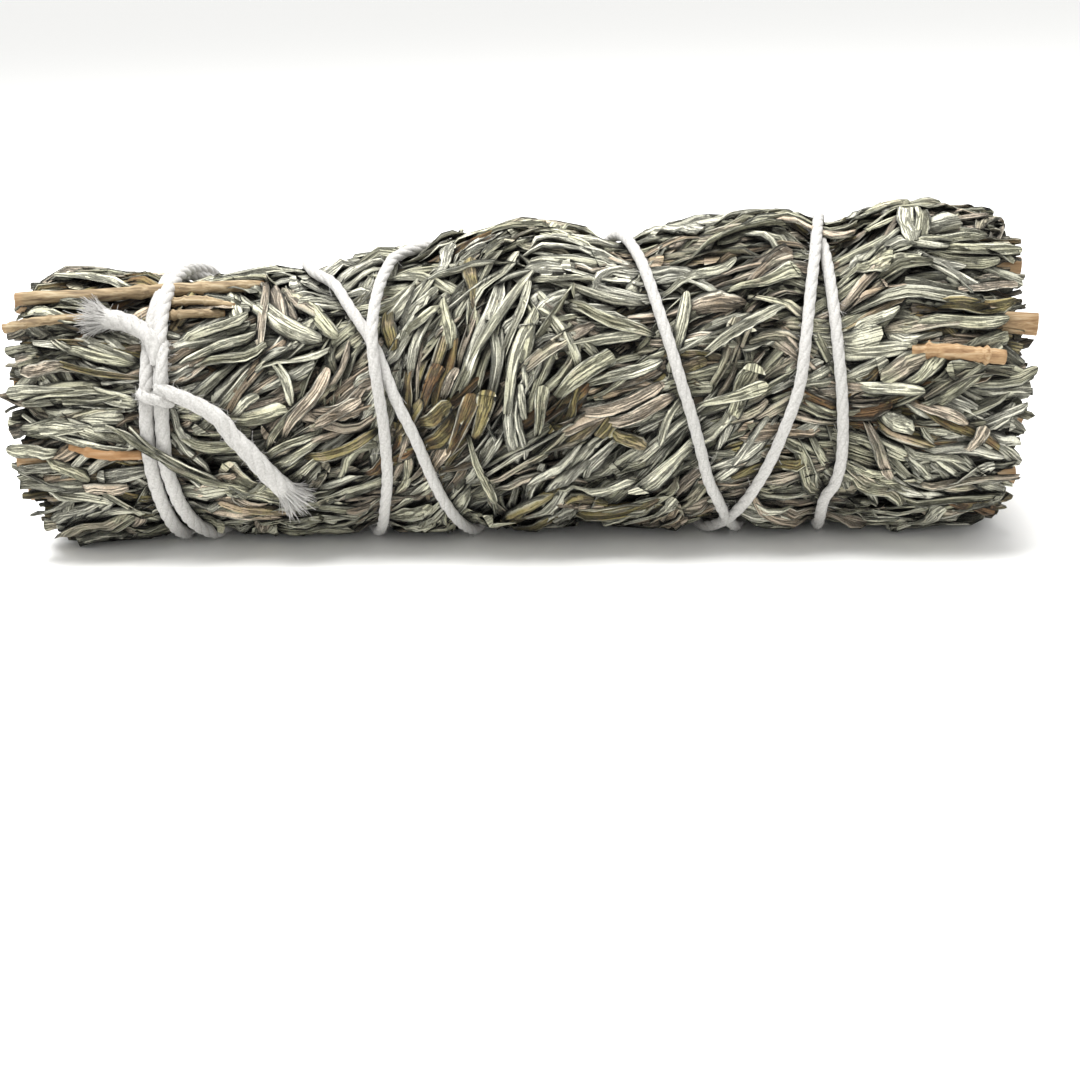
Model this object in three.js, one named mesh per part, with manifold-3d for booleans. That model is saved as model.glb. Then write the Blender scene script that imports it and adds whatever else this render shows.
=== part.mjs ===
// A small bundle of dried sage: leafy sprigs laid side by side, pressed together and wound with cotton string.
// It lies on its side along X. Millimetres, +Z up, origin under the middle on the surface it lies on.
import * as THREE from 'three';
import { mergeVertices } from 'three/addons/utils/BufferGeometryUtils.js';
import Module from 'manifold-3d';

const wasm = await Module();
wasm.setup();

const degree = Math.PI / 180;
const { lerp, smoothstep, clamp } = THREE.MathUtils;

// The bundle as a whole
const leafEnd = 54.2; // the longest leaves are cut off here, either side of the middle
const coreEnd = 51.4; // the packed inside of a sprig ends here
const pressedFlat = 0.6; // how far the underside is pressed in by the surface it lies on
const gap = 0.3; // clear space between pieces that lie against each other
const finestEdge = 0.01; // cuts leave no shorter edges
const acrossBundle = [80, 80]; // more than the bundle's width and height
const bundleRadii = [ // place along the bundle, radius there
  [-54, 15.5], [-42, 15], [-31, 14.8], [-13, 16], [3, 17.4],
  [12, 16.5], [29, 17.5], [34, 16.6], [42, 17.9], [54, 17.4],
];

// Sprigs: an outer ring of wedges round a few thinner ones
const ring = { name: 'outer', count: 9, from: 8.05, columns: 3 };
const centre = { name: 'inner', count: 4, from: 0.5, to: 7.6, columns: 3 };
const coreSteps = 7;
const edgeSway = 0.12; // the edge between two sprigs sways by this angle
const edgeSwayLength = 17;
const coreDepth = 2.5; // how deep the packed inside lies under the leaf tips
const coreRoughness = 0.35;
const coreRidges = { around: 23, along: 1.7 }; // ridges on it, per radian and per millimetre
const footHeight = -0.2; // the packed inside reaches up to here where the bundle lies on it
const footFade = [0.95, 0.985];
const endRoughness = 2;
const endSeeds = { across: 31, out: 3 }; // set apart the corners that an end is roughened at

// Leaves
const leavesPerSprig = 13;
const leafSpan = 50; // leaves are centred up to here, either side of the middle
const leafStagger = { own: 0.4, sprig: 0.3 }; // shifts along the bundle, as shares of the step between leaves
const leafOffsets = [0.18, 0.3]; // a leaf lies this share of its sprig's width from the sprig's middle
const leafThickness = 0.66;
const leafLengths = [13.5, 18];
const leafHalfWidths = [1.75, 2.5];
const toothedShare = 0.6;
const leafRoot = -2.9; // height of a leaf's top at its root, sunk in the packed inside
const leafTips = [-0.3, 0.9]; // height of its top at the tip
const leafTilt = 0.14;
const leafCurl = 0.7;
const leanScatter = 0.5;
const reversedShare = 0.25;
const leafMiddle = 0.45; // a leaf that wraps round the bundle also bends here
const wrapsFrom = 0.35; // sine of the lean from which a leaf wraps
const toothedLeaf = [ // along from root to tip, across; the tip ends in three blunt teeth
  [0, -0.42], [leafMiddle, -0.62], [0.82, -1], [0.96, -0.86], [0.88, -0.4], [1, 0],
  [0.88, 0.4], [0.96, 0.86], [0.82, 1], [leafMiddle, 0.62], [0, 0.42],
];
const plainLeaf = [
  [0, -0.5], [leafMiddle, -0.8], [0.8, -0.8], [1, -0.25], [1, 0.25], [0.8, 0.8], [leafMiddle, 0.8], [0, 0.5],
];
const leanGuides = [ // place along the bundle, turn round it, lean of the leaves there; in degrees
  [-48, 60, 0], [-48, 25, -5], [-48, -25, 10], [-42, 35, -15], [-42, 0, -10], [-33, 45, 35], [-33, 25, 20],
  [-30, -15, -25], [-30, -40, 5], [-24, 65, -50], [-22, 10, 50], [-20, -15, 25], [-14, 65, 45], [-10, 45, 50],
  [-7, 20, 60], [-5, 0, 60], [-3, 45, 60], [-3, -30, 50], [0, 70, 20], [3, 0, 80], [3, -30, 70], [5, 15, 40],
  [6, 60, 0], [8, 45, -20], [9, -25, 30], [12, 12, 20], [15, -5, 45], [20, 50, 30], [22, 68, -10],
  [24, 25, 25], [25, 0, 10], [27, -20, 15], [30, 80, 10], [36, 45, 0], [38, 72, 40], [38, -10, -50],
  [40, 28, 15], [40, 5, -20], [44, -25, -25], [46, 50, 5], [46, 30, -10], [47, 5, 15], [48, -40, 10],
  [-20, -85, 15], [25, -85, 15], [-40, 120, 10], [-45, 180, -5], [-20, 200, 20], [5, 150, 30],
  [30, 180, -10], [40, 110, -5],
];
const leanRadius = 16.5; // how far from the axis leans are compared
const leanBlur = 4; // square millimetres that soften the blend of leans
const endBlade = { length: 3.4, width: 2.6, sunk: 1.2, scatter: 0.5, roll: 0.6, seed: 400 };
const endBladeReach = { above: 2, below: 1.6, outermost: 15.5 }; // clear of a sprig's inner and outer sides

// Stems
const stemRadius = 1.2;
const stemSides = 6;
const hiddenStemDepth = 4.7; // a stem's centre lies this deep where it is hidden among the leaves
const innerStemReach = 4.6; // how far from the middle an inner sprig's stem lies
const stemReach = 57; // stems are made this long either way, then cut off
const hiddenStemSteps = 3;
const shownStemDepths = [4.7, 4.7, 4, 1.1]; // from the middle out, of a stem that comes to the surface
const leftStems = [2, 4]; // outer sprigs whose stem comes to the surface towards -X
const rightStems = [3]; // and towards +X
const stemEnds = [52.6, 54.6];

// String
const stringRadius = 0.72;
const stringSides = 6;
const stringClearance = 0.2; // above the surface that the bundle lies on
const stringLift = -0.25; // the string sinks this far below the leaf tips
const windingSteps = 88;
const windingBreaks = [0, 41, 80, windingSteps]; // the winding is made in lengths between these steps
const windingLead = 0.2; // each length starts this share of a step inside the one before
const pressPointsPerRow = 8;
const pressReach = [2, 6]; // leaves are pressed right down up to here from the string, and less beyond
const pressedHeight = -2.05;
const windingRoute = [ // place along the bundle, turn in degrees, lift; from the knot there and back
  [-36.3, 30, 0.6], [-36.4, 10, 0.2], [-36.6, -10, 0], [-36.4, -20, 0], [-36, -35, 0], [-35, -55, 0],
  [-32, -95, 0], [-28.5, -150, 0], [-25.5, -205, 0], [-23.5, -250, 0], [-21.5, -280, 0], [-18.5, -296, 0],
  [-16.5, -310, 0], [-13.5, -329, 0], [-11.5, -348, 0], [-9.5, -365, 0], [-8, -384, 0], [-6.5, -404, 0],
  [-3, -450, 0], [2, -500, 0], [6.5, -550, 0], [10.5, -600, 0], [13.3, -642, 0], [14.3, -656, 0],
  [15.7, -677, 0], [17.8, -704, 0], [18.9, -717, 0], [20, -732, 0], [21, -747, 0], [22.5, -763, 0],
  [26, -810, 0], [29.5, -870, 0], [31.5, -930, 0], [33, -985, 0], [33.4, -1010, 0], [33.8, -1045, 0],
  [34.4, -1075, 0], [34.6, -1094, 0], [34.2, -1108, 0], [33.2, -1122, 0], [34, -1170, 0], [35, -1230, 0],
  [35.5, -1290, 0.2], [34, -1338, 1.1], [33.2, -1356, 1.2], [32.5, -1372, 0.8], [31.4, -1396, 0.1],
  [30.7, -1413, 0], [30, -1430, 0], [28.5, -1446, 0], [27, -1460, 0], [25.3, -1475, 0], [23.5, -1490, 0],
  [18.5, -1530, 0], [10, -1590, 0.4], [5.5, -1620, 1.5], [1, -1650, 0.5], [-7, -1690, 0], [-11.9, -1717, 0.1],
  [-12.8, -1732, 0.5], [-13.5, -1754, 1.4], [-13.6, -1769, 1.5], [-13.1, -1785, 0.9], [-12.8, -1800, 0.1],
  [-12.9, -1818, 0], [-13.7, -1836, 0], [-15.5, -1865, 0], [-20, -1910, 0.1], [-24, -1947, 0.6],
  [-27.5, -1975, 1.5], [-31, -2003, 0.6], [-35, -2038, 0.1], [-37.5, -2072, 0.1], [-37.6, -2088, 0.1],
  [-37.8, -2110, 0.1], [-37.9, -2135, 0.1], [-38.1, -2155, 0.1], [-38.2, -2172, 0], [-38, -2195, 0],
  [-37.8, -2220, 0], [-37, -2290, 0], [-36.2, -2350, 0.3], [-35.3, -2390, 1.4], [-36.3, -2415, 0.7],
  [-36.7, -2438, 0.5], [-36.8, -2460, 0.7], [-36.5, -2482, 0.9],
];
const upperTail = [
  [-36.5, 31, 1], [-37, 38, 1.4], [-38, 43, 1.5], [-40, 48, 1.1], [-41.5, 50, 0.9], [-43, 51, 0.8],
];
const lowerTail = [
  [-36.6, 21, 1.3], [-35.5, 20, 1.4], [-34, 18, 1.2], [-31.8, 14, 1], [-30, 9, 0.9], [-29, 3, 0.8],
  [-27.6, -3, 0.8], [-26.3, -10, 0.8], [-25, -17, 0.8], [-23.7, -23, 0.9],
];
const knotLoops = [
  [[-36.3, 41, 0.2], [-36, 35, 1.3], [-36, 27, 1.4], [-36.2, 19, 1.2], [-36.5, 13, 0.2]],
  [[-38.5, 20, 0], [-37.8, 18, 1.4], [-36.5, 17, 1.8], [-35.3, 16, 0.2]],
];
const fray = { length: 3, widening: 0.5, root: 0.9, reach: 0.3 }; // root: share of radius; reach: of length

const finishes = {
  greenLeaves: { color: 0xa9ad97, roughness: 0.95, metalness: 0 },
  greyLeaves: { color: 0xa39d92, roughness: 0.95, metalness: 0 },
  oliveLeaves: { color: 0x94926f, roughness: 0.95, metalness: 0 },
  stem: { color: 0x8f6a48, roughness: 0.9, metalness: 0 },
  string: { color: 0xebe8e1, roughness: 1, metalness: 0 },
};
const leafFinishes = [finishes.greenLeaves, finishes.greyLeaves, finishes.oliveLeaves];

// A repeatable number from 0 to 1 for a piece and one of its properties.
function draw(piece, property) {
  const mixed = Math.sin(piece * 12.9898 + property * 78.233) * 43758.5453;
  return mixed - Math.floor(mixed);
}

// The eased value of a table of [place, value] rows at a place.
function along(table, at) {
  const next = clamp(table.filter(([start]) => start <= at).length, 1, table.length - 1);
  const [[start, before], [end, after]] = table.slice(next - 1, next + 1);
  return lerp(before, after, smoothstep(at, start, end));
}

// A point on the bundle: turn 0 faces -Y, a quarter turn is the top, and height is measured from the leaf tips.
function place(x, turn, height) {
  const radius = along(bundleRadii, x);
  const reach = radius + height;
  return new THREE.Vector3(x, -reach * Math.cos(turn), radius - pressedFlat + reach * Math.sin(turn));
}

// Rewrites every vertex of a geometry through a function of its three coordinates.
function reshape(geometry, rule) {
  const positions = geometry.attributes.position;
  for (let i = 0; i < positions.count; i += 1) {
    const { x, y, z } = rule(positions.getX(i), positions.getY(i), positions.getZ(i));
    positions.setXYZ(i, x, y, z);
  }
  return geometry;
}

// A closed mesh as a solid that can be joined to others or cut by them.
function toSolid(geometry) {
  geometry.deleteAttribute('normal');
  geometry.deleteAttribute('uv');
  const merged = mergeVertices(geometry, 1e-5);
  return new wasm.Manifold(new wasm.Mesh({
    numProp: 3,
    vertProperties: merged.attributes.position.array,
    triVerts: new Uint32Array(merged.index.array),
  }));
}

function join(solids) {
  return solids.reduce((joined, solid) => joined.add(solid));
}

// A cut solid without the slivers and the freed scraps that its cuts leave.
function cleaned(solid) {
  const bodies = solid.simplify(finestEdge).decompose();
  return bodies.reduce((largest, body) => (body.volume() > largest.volume() ? body : largest));
}

function toMesh(name, solid, finish) {
  const { vertProperties, triVerts } = solid.getMesh();
  const geometry = new THREE.BufferGeometry();
  geometry.setAttribute('position', new THREE.BufferAttribute(vertProperties, 3));
  geometry.setIndex(new THREE.BufferAttribute(triVerts, 1));
  geometry.computeVertexNormals();
  const mesh = new THREE.Mesh(geometry, new THREE.MeshStandardMaterial(finish));
  mesh.name = name;
  return mesh;
}

// A rod along a list of points.
function tube(points, radius, sides, steps) {
  const corners = Array.from({ length: sides }, (_, i) => {
    const turn = (i * 2 * Math.PI) / sides;
    return new THREE.Vector2(radius * Math.cos(turn), radius * Math.sin(turn));
  });
  const extrudePath = new THREE.CatmullRomCurve3(points);
  const section = new THREE.Shape(corners);
  return toSolid(new THREE.ExtrudeGeometry(section, { steps, extrudePath, bevelEnabled: false }));
}

// String

function stringPoint([x, turn, lift]) {
  return place(x, turn * degree, stringLift + lift);
}

// Even steps along a route, held above the surface that the bundle lies on.
function stringSteps(route, steps) {
  return new THREE.CatmullRomCurve3(route.map(stringPoint)).getSpacedPoints(steps).map((point) =>
    point.setZ(Math.max(point.z, stringRadius + stringClearance)));
}

const windingPoints = stringSteps(windingRoute, windingSteps);

// A tail's end, where the string comes apart and widens.
function frayedEnd(route, radius) {
  const [before, end] = route.slice(-2).map(stringPoint);
  const direction = end.clone().sub(before).normalize();
  const widest = radius + fray.widening;
  const flare = new THREE.CylinderGeometry(widest, radius * fray.root, fray.length, stringSides);
  flare.applyQuaternion(new THREE.Quaternion().setFromUnitVectors(new THREE.Vector3(0, 1, 0), direction));
  const middle = end.addScaledVector(direction, fray.length * fray.reach);
  return toSolid(flare.translate(middle.x, middle.y, middle.z));
}

// The tails, with their frayed ends, and the loops of the knot.
function stringEnds(radius) {
  const rods = [upperTail, lowerTail, ...knotLoops].map((route) =>
    tube(route.map(stringPoint), radius, stringSides, route.length - 1));
  return join([...rods, frayedEnd(upperTail, radius), frayedEnd(lowerTail, radius)]);
}

// The string in lengths that don't cross themselves; a larger radius gives the grooves that it lies in.
function stringPieces(radius) {
  const lengths = windingBreaks.slice(1).map((end, i) => {
    const start = windingBreaks[i];
    const lead = start > 0 ? [windingPoints[start].clone().lerp(windingPoints[start - 1], windingLead)] : [];
    const points = [...lead, ...windingPoints.slice(start, end + 1)];
    return tube(points, radius, stringSides, points.length - 1);
  });
  return [...lengths, stringEnds(radius)];
}

const pressPoints = [windingRoute, upperTail, lowerTail].flatMap((route) =>
  stringSteps(route, route.length * pressPointsPerRow));

// How hard the string presses on a point: 1 right under it, 0 beyond its reach.
function pressAt(point) {
  const nearest = Math.min(...pressPoints.map((pressPoint) => pressPoint.distanceTo(point)));
  return 1 - smoothstep(nearest, ...pressReach);
}

// Sprigs

// The edge before a sprig, as a turn: it sways a little along the bundle. Sprig 0 lies underneath.
function edgeTurn(layer, sprig, x) {
  return ((sprig - 0.5) / layer.count - 0.25) * 2 * Math.PI + edgeSway * Math.sin(x / edgeSwayLength);
}

// The rough outside of the packed leaves, full where the bundle lies on it.
function coreHeight(x, turn) {
  const rough = -coreDepth + coreRoughness * Math.sin(turn * coreRidges.around + x * coreRidges.along);
  return lerp(rough, footHeight, smoothstep(-Math.sin(turn), ...footFade));
}

// The packed inside of a sprig: a wedge between its two edges, ragged at both ends.
function sprigCore(layer, sprig) {
  const outer = Array.from({ length: layer.columns + 1 }, (_, i) => new THREE.Vector2(i / layer.columns, 1));
  const inner = [0, 0.5, 1].map((across) => new THREE.Vector2(across, 0));
  const outline = new THREE.Shape([...inner, ...outer.reverse()]);
  const wedge = new THREE.ExtrudeGeometry(outline, { depth: 1, steps: coreSteps, bevelEnabled: false });
  return toSolid(reshape(wedge, (across, out, length) => {
    const seeds = [sprig + across * endSeeds.across, layer.count + out * endSeeds.out + length];
    const end = length === 0 || length === 1 ? coreEnd - draw(...seeds) * endRoughness : coreEnd;
    const x = lerp(-end, end, length);
    const radius = along(bundleRadii, x);
    const turn = lerp(edgeTurn(layer, sprig, x), edgeTurn(layer, sprig + 1, x), across);
    const reach = out === 0 ? layer.from : layer.to ?? radius + coreHeight(x, turn);
    return place(x, turn + ((0.5 - across) * gap) / reach, reach - radius);
  }));
}

// The lean of the leaves at a point of the surface: a blend of the guides, the nearest counting most.
function leanAt(x, turn) {
  const blend = leanGuides.reduce((sum, [guideX, guideTurn, lean]) => {
    const across = 2 * Math.sin((turn - guideTurn * degree) / 2) * leanRadius;
    const weight = 1 / ((x - guideX) ** 2 + across ** 2 + leanBlur) ** 2;
    return [sum[0] + weight * Math.cos(lean * degree), sum[1] + weight * Math.sin(lean * degree)];
  }, [0, 0]);
  return Math.atan2(blend[1], blend[0]);
}

// Eases a number that nears -1 or 1 so that it never passes them.
function heldIn(number) {
  return number / (1 + number ** 4) ** 0.25;
}

// One leaf of an outer sprig, laid on its packed inside and kept clear of the next sprig.
function leaf(sprig, number) {
  const seed = sprig * leavesPerSprig + number + 1;
  const shift = leafStagger.own * draw(seed, 9) + leafStagger.sprig * (sprig % 3);
  const middleX = lerp(-leafSpan, leafSpan, (number + shift) / leavesPerSprig);
  const offset = (number % 2 ? 1 : -1) * lerp(...leafOffsets, draw(seed, 10));
  const middleTurn = lerp(edgeTurn(ring, sprig, middleX), edgeTurn(ring, sprig + 1, middleX), 0.5 + offset);
  const radius = along(bundleRadii, middleX);
  const length = lerp(...leafLengths, draw(seed, 1));
  const halfWidth = lerp(...leafHalfWidths, draw(seed, 2));
  const curl = leafCurl * (draw(seed, 3) - 0.5);
  const tilt = leafTilt * (draw(seed, 4) - 0.5) * 2;
  const tip = lerp(...leafTips, draw(seed, 5));
  const reversed = draw(seed, 6) < reversedShare ? Math.PI : 0;
  const lean = leanAt(middleX, middleTurn) + leanScatter * (draw(seed, 7) - 0.5) + reversed;
  const wraps = Math.abs(Math.sin(lean)) > wrapsFrom;
  const outline = draw(seed, 8) < toothedShare ? toothedLeaf : plainLeaf;
  const corners = outline.filter(([s]) => wraps || s !== leafMiddle).map(([s, v]) => new THREE.Vector2(s, v));

  const flat = { depth: leafThickness, steps: 1, bevelEnabled: false };
  const blade = new THREE.ExtrudeGeometry(new THREE.Shape(corners), flat);
  return toSolid(reshape(blade, (s, v, up) => {
    const heading = lean + curl * (s - 0.5);
    const chord = lean + (curl * (s - 0.5)) / 2;
    const run = length * (s - 0.5);
    const ribX = middleX + run * Math.cos(chord);
    const ribTurn = middleTurn + (run * Math.sin(chord)) / radius;
    const [before, after] = [0, 1].map((side) => edgeTurn(ring, sprig + side, ribX));
    const room = (after - before) / 2 - (halfWidth + gap) / radius;
    const heldTurn = (before + after) / 2 + room * heldIn((ribTurn - (before + after) / 2) / room);
    const x = ribX - v * halfWidth * Math.sin(heading);
    const turn = heldTurn + (v * halfWidth * Math.cos(heading)) / radius;
    const press = pressAt(place(x, turn, 0));
    const risen = lerp(leafRoot, tip, Math.sqrt(s)) + v * halfWidth * tilt;
    return place(x, turn, lerp(risen, pressedHeight, press) + up - leafThickness);
  }));
}

// A short cut-off blade that stands out of the packed inside at one end; end is -1 or 1.
function bladeAtEnd(layer, sprig, end) {
  const seed = endBlade.seed + (sprig + layer.count) * 10 + end;
  const outermost = (layer.to ?? endBladeReach.outermost) - endBladeReach.below;
  const reach = lerp(layer.from + endBladeReach.above, outermost, draw(seed, 1));
  const middle = end * (coreEnd - endBlade.sunk + endBlade.length / 2 + endBlade.scatter * draw(seed, 2));
  const [before, after] = [0, 1].map((side) => edgeTurn(layer, sprig + side, middle));
  const room = Math.max((after - before) / 2 - (endBlade.width / 2 + gap) / reach, 0);
  const turn = (before + after) / 2 - room * lerp(0.5, 1, draw(seed, 3));
  const roll = (draw(seed, 4) * 2 - 1) * endBlade.roll;
  return toSolid(reshape(new THREE.BoxGeometry(endBlade.length, endBlade.width, leafThickness), (x, y, z) => {
    const across = y * Math.cos(roll) - z * Math.sin(roll);
    const out = y * Math.sin(roll) + z * Math.cos(roll);
    return place(middle + x, turn + across / reach, reach + out - along(bundleRadii, middle));
  }));
}

// Stems

// Even places along a sprig's stem; one that comes to the surface near an end takes more of them.
function stemRoute(layer, sprig) {
  const ends = layer === ring ? [leftStems.includes(sprig), rightStems.includes(sprig)] : [false, false];
  const steps = ends.some((shown) => shown) ? 2 * (shownStemDepths.length - 1) : hiddenStemSteps;
  return Array.from({ length: steps + 1 }, (_, i) => {
    const x = stemReach * ((2 * i) / steps - 1);
    const turn = (edgeTurn(layer, sprig, x) + edgeTurn(layer, sprig + 1, x)) / 2;
    if (layer === centre) return place(x, turn, innerStemReach - along(bundleRadii, x));
    const shown = ends[x < 0 ? 0 : 1];
    return place(x, turn, -(shown ? shownStemDepths[Math.abs(i - steps / 2)] : hiddenStemDepth));
  });
}

function stemRod(layer, sprig, radius) {
  const route = stemRoute(layer, sprig);
  return tube(route, radius, stemSides, route.length - 1);
}

// A stem is cut off at its own length past each end of the packed leaves.
function stemSolid(layer, sprig) {
  const [left, right] = [-1, 1].map((end) => lerp(...stemEnds, draw(sprig + layer.count * 3, end + 2)));
  const span = new THREE.BoxGeometry(left + right, ...acrossBundle).translate((right - left) / 2, 0, 0);
  return stemRod(layer, sprig, stemRadius).intersect(toSolid(span));
}

// Assembly

const bundle = new THREE.Group();
const grooves = stringPieces(stringRadius + gap);
const trim = toSolid(new THREE.BoxGeometry(2 * leafEnd, ...acrossBundle).translate(0, 0, acrossBundle[1] / 2));

for (const layer of [ring, centre]) {
  for (let sprig = 0; sprig < layer.count; sprig += 1) {
    const name = `${layer.name}_sprig_${sprig + 1}`;
    const blades = [-1, 1].map((end) => bladeAtEnd(layer, sprig, end));
    if (layer === ring) {
      for (let number = 0; number < leavesPerSprig; number += 1) blades.push(leaf(sprig, number));
    }
    const hole = stemRod(layer, sprig, stemRadius + gap);
    const packed = join([sprigCore(layer, sprig), ...blades]).subtract(hole).intersect(trim);
    const leaves = grooves.reduce((cut, groove) => cut.subtract(groove), packed);
    const finish = leafFinishes[Math.floor(draw(sprig + layer.count, 22) * leafFinishes.length)];
    bundle.add(toMesh(`${name}_leaves`, cleaned(leaves), finish));
    bundle.add(toMesh(`${name}_stem`, stemSolid(layer, sprig), finishes.stem));
  }
}
const string = join(stringPieces(stringRadius)).intersect(trim);
bundle.add(toMesh('cotton_string', cleaned(string), finishes.string));

export default bundle;
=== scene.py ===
import math
import bmesh
import bpy
import numpy as np
from mathutils import Matrix, Vector, kdtree


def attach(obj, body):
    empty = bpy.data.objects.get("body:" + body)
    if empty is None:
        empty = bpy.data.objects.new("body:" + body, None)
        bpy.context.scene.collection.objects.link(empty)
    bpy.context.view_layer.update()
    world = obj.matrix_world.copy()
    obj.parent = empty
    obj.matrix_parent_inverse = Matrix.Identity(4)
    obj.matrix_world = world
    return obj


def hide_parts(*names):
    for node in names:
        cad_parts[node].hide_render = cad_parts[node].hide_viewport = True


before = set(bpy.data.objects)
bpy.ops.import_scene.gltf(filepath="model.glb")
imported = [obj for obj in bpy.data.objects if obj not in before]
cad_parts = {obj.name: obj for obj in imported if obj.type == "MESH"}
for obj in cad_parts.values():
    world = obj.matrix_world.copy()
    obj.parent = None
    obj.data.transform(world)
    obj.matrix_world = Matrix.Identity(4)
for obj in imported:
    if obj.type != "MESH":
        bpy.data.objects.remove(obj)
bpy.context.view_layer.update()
mm = 0.001  # lengths in the dictionaries are millimetres, and meshes are metres
degree = math.pi / 180
print("frame loaded:", len(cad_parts), "solids")

# The bundle's form, as the solids have it
bundle = {
    "radii": [  # place along the bundle, radius there
        [-54, 15.5], [-42, 15], [-31, 14.8], [-13, 16], [3, 17.4],
        [12, 16.5], [29, 17.5], [34, 16.6], [42, 17.9], [54, 17.4],
    ],
    "pressedFlat": 0.6,
    "outerSprigs": 9,
    "innerSprigs": 4,
    "innerReach": 7.8,  # outer sprigs start this far from the axis
    "edgeSway": 0.12,
    "edgeSwayLength": 17,
    "end": 54.0,
    "floorSoftness": 0.4,  # leaves that meet the floor are squeezed above it over this height
    "ceiling": 35.6,  # and the topmost ones are squeezed under this in the same way
}
sprigNames = [f"outer_sprig_{n + 1}" for n in range(bundle["outerSprigs"])]
sprigNames += [f"inner_sprig_{n + 1}" for n in range(bundle["innerSprigs"])]


def smooth(low, high, at):
    t = np.clip((at - low) / (high - low), 0, 1)
    return t * t * (3 - 2 * t)


def mix(low, high, share):
    return low + (high - low) * share


def along(table, at):  # the eased value of a table of [place, value] rows
    rows = np.array(table, float)
    k = np.clip(np.searchsorted(rows[:, 0], at, side="right"), 1, len(rows) - 1)
    return mix(rows[k - 1, 1], rows[k, 1], smooth(rows[k - 1, 0], rows[k, 0], at))


def softlyAbove(z):  # z where it is well above 0, and a little over 0 where it is below
    return (z + np.sqrt(z * z + bundle["floorSoftness"] ** 2)) / 2


def place(x, turn, height):  # turn 0 faces -Y, a quarter turn is the top, height is from the leaf tips
    radius = along(bundle["radii"], x)
    reach = radius + height
    z = radius - bundle["pressedFlat"] + reach * np.sin(turn)
    z = bundle["ceiling"] - softlyAbove(bundle["ceiling"] - softlyAbove(z))
    return np.stack([x + 0 * z, -reach * np.cos(turn), z], axis=-1)


def edgeTurn(sprig, x):  # the edge before an outer sprig
    sway = bundle["edgeSway"] * np.sin(x / bundle["edgeSwayLength"])
    return ((sprig - 0.5) / bundle["outerSprigs"] - 0.25) * 2 * math.pi + sway


def sprigAt(x, turn, count):  # the number of the sprig that holds a point
    sway = bundle["edgeSway"] * np.sin(x / bundle["edgeSwayLength"])
    return int(math.floor(((turn - sway) / (2 * math.pi) + 0.25) * count + 0.5)) % count


def draw(piece, prop):  # a repeatable number from 0 to 1, the same as the solids are made with
    mixed = np.sin(piece * 12.9898 + prop * 78.233) * 43758.5453
    return mixed - np.floor(mixed)


curveFineness = 24  # steps of a smooth curve between two points of its list


def curveThrough(points, step):  # evenly spaced rows on a smooth curve through a list of rows
    rows = np.array(points, float)
    ends = np.vstack([2 * rows[0] - rows[1], rows, 2 * rows[-1] - rows[-2]])
    fine = []
    for i in range(len(rows) - 1):
        a, b, c, d = ends[i:i + 4]
        t = np.linspace(0, 1, curveFineness, endpoint=False)[:, None]
        fine.append((2 * b + (c - a) * t + (2 * a - 5 * b + 4 * c - d) * t ** 2
                     + (3 * b - a - 3 * c + d) * t ** 3) / 2)
    fine = np.vstack(fine + [rows[-1:]])
    spots = place(fine[:, 0], fine[:, 1] * degree, fine[:, 2])
    run = np.concatenate([[0], np.cumsum(np.linalg.norm(np.diff(spots, axis=0), axis=1))])
    even = np.linspace(0, run[-1], max(int(run[-1] / step), 3) + 1)
    return np.stack([np.interp(even, run, fine[:, k]) for k in range(fine.shape[1])], axis=1)


# Camera, at the height and distance the bundle is looked at from
camera = {"pitch": 20, "yaw": 3, "roll": 1.9, "lens": 53.17, "distance": 180,
          "lookAt": (0, 0, 16.2), "right": -0.015674, "up": 0.098934}  # offsets as shares of the distance


def addCamera():
    pitch, yaw, roll = (camera[k] * degree for k in ("pitch", "yaw", "roll"))
    forward = Vector((-math.sin(yaw) * math.cos(pitch), math.cos(yaw) * math.cos(pitch), -math.sin(pitch)))
    level = Vector((math.cos(yaw), math.sin(yaw), 0))
    upright = level.cross(forward)
    right = level * math.cos(roll) - upright * math.sin(roll)
    up = upright * math.cos(roll) + level * math.sin(roll)
    aim = forward + right * camera["right"] + up * camera["up"]
    spot = (Vector(camera["lookAt"]) - aim * camera["distance"]) * mm
    data = bpy.data.cameras.new("studioCamera")
    data.lens = camera["lens"]
    data.clip_start = 0.01
    eye = bpy.data.objects.new("studioCamera", data)
    eye.matrix_world = Matrix((
        (right.x, up.x, -forward.x, spot.x), (right.y, up.y, -forward.y, spot.y),
        (right.z, up.z, -forward.z, spot.z), (0, 0, 0, 1)))
    bpy.context.scene.collection.objects.link(eye)
    bpy.context.scene.camera = eye


addCamera()

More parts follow.
